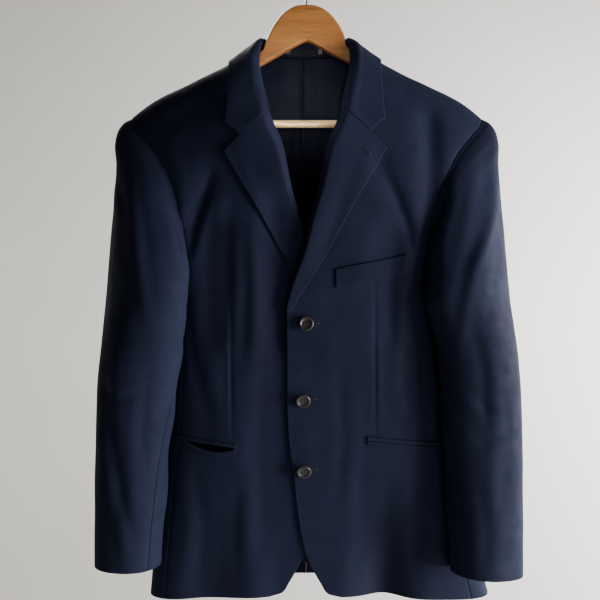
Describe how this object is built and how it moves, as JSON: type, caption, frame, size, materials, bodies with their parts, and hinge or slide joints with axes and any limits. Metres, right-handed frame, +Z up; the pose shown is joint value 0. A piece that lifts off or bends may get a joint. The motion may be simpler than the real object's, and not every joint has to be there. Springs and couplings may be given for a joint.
{
  "type": "blazer on a wooden hanger",
  "caption": "Single breasted notch lapel blazer in dark wool cloth, hanging on a flat wooden suit hanger with a trouser bar and a wire hook.",
  "frame": {"origin": "the inside top of the hanger's hook, where the rail that holds it touches", "axes": "+Z up, along the hang; -Y out of the blazer's front; +X towards the wearer's left"},
  "size_m": [0.5775, 0.1791, 0.8838],
  "materials": {
    "navy_wool": "matt worsted wool",
    "lining_satin": "soft sheen satin",
    "label_cloth": "woven, bare",
    "button_horn": "semi-gloss",
    "honey_wood": "clear lacquer",
    "pale_wood": "clear lacquer",
    "steel_wire": "plated wire"
  },
  "bodies": {
    "root": {"back_left": "navy_wool", "back_lining": "lining_satin", "back_right": "navy_wool", "breast_welt": "navy_wool", "button_1": "button_horn", "button_2": "button_horn", "button_3": "button_horn", "collar": "navy_wool", "front_left": "navy_wool", "front_right": "navy_wool", "hanger_bar": "pale_wood", "hanger_hook": "steel_wire", "hanger_yoke": "honey_wood", "hip_jet_lower_left": "navy_wool", "hip_jet_lower_right": "navy_wool", "hip_jet_upper_left": "navy_wool", "hip_jet_upper_right": "navy_wool", "lapel_left": "navy_wool", "lapel_right": "navy_wool", "neck_label": "label_cloth", "pocket_bag_right": "lining_satin", "side_left": "navy_wool", "side_right": "navy_wool", "sleeve_top_left": "navy_wool", "sleeve_top_right": "navy_wool", "sleeve_under_left": "navy_wool", "sleeve_under_right": "navy_wool"}
  },
  "joints": []
}
